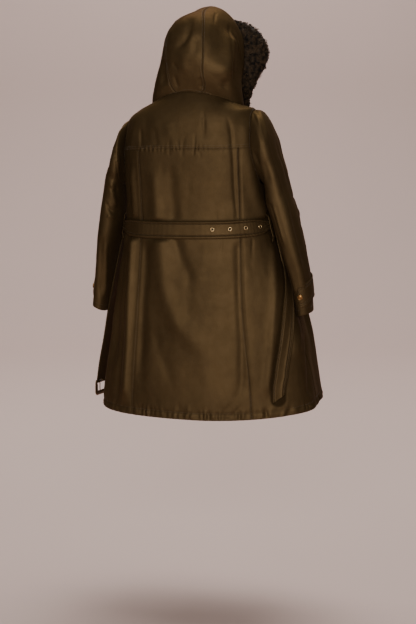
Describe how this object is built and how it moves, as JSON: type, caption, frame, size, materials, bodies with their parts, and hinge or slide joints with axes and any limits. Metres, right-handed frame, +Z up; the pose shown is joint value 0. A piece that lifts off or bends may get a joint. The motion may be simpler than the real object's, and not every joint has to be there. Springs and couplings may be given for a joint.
{
  "type": "hooded raincoat, worn, held up by its wearer",
  "caption": "Hooded knee-length raincoat, worn and open at the hem, with fur-trimmed three-piece hood, back yoke, princess seams, loose eyelet belt with hanging buckle and cuff tabs.",
  "frame": {"origin": "the middle of the neck, level with the centre back neckline, where the wearer's neck and shoulders carry the coat", "axes": "+X to the wearer's right, +Y the way the wearer faces, +Z up"},
  "size_m": [0.7304, 0.3913, 1.2477],
  "materials": {
    "satin_cloth": "dark olive-bronze satin weave",
    "fur": "curly near-black brown fur",
    "gold_metal": "pale antique gold",
    "buckle_bronze": "dark bronze"
  },
  "bodies": {
    "coat": {"back_center": "satin_cloth", "back_side_left": "satin_cloth", "back_side_right": "satin_cloth", "back_yoke": "satin_cloth", "belt_back": "satin_cloth", "belt_carrier_left": "satin_cloth", "belt_carrier_right": "satin_cloth", "belt_end_left": "satin_cloth", "belt_tail_right": "satin_cloth", "cuff_button_left": "gold_metal", "cuff_button_right": "gold_metal", "cuff_tab_left": "satin_cloth", "cuff_tab_right": "satin_cloth", "eyelet_1": "gold_metal", "eyelet_2": "gold_metal", "eyelet_3": "gold_metal", "eyelet_4": "gold_metal", "front_button_1": "gold_metal", "front_button_2": "gold_metal", "front_button_3": "gold_metal", "front_button_4": "gold_metal", "front_button_5": "gold_metal", "front_left": "satin_cloth", "front_right": "satin_cloth", "fur_trim": "fur", "hood_gusset": "satin_cloth", "hood_side_left": "satin_cloth", "hood_side_right": "satin_cloth", "sleeve_left": "satin_cloth", "sleeve_right": "satin_cloth"},
    "buckle": {"buckle_frame": "buckle_bronze"},
    "prong": {"buckle_prong": "buckle_bronze"}
  },
  "joints": [
    {"name": "buckle_swing", "type": "hinge", "parent": "coat", "child": "buckle", "pos_m": [-0.334, 0.024, -0.926], "axis": [0.2079, 0.9781, 0], "range_deg": [-20, 60]},
    {"name": "prong_swing", "type": "hinge", "parent": "buckle", "child": "prong", "pos_m": [-0.334, 0.024, -0.926], "axis": [0.2079, 0.9781, 0], "range_deg": [0, 75]}
  ]
}
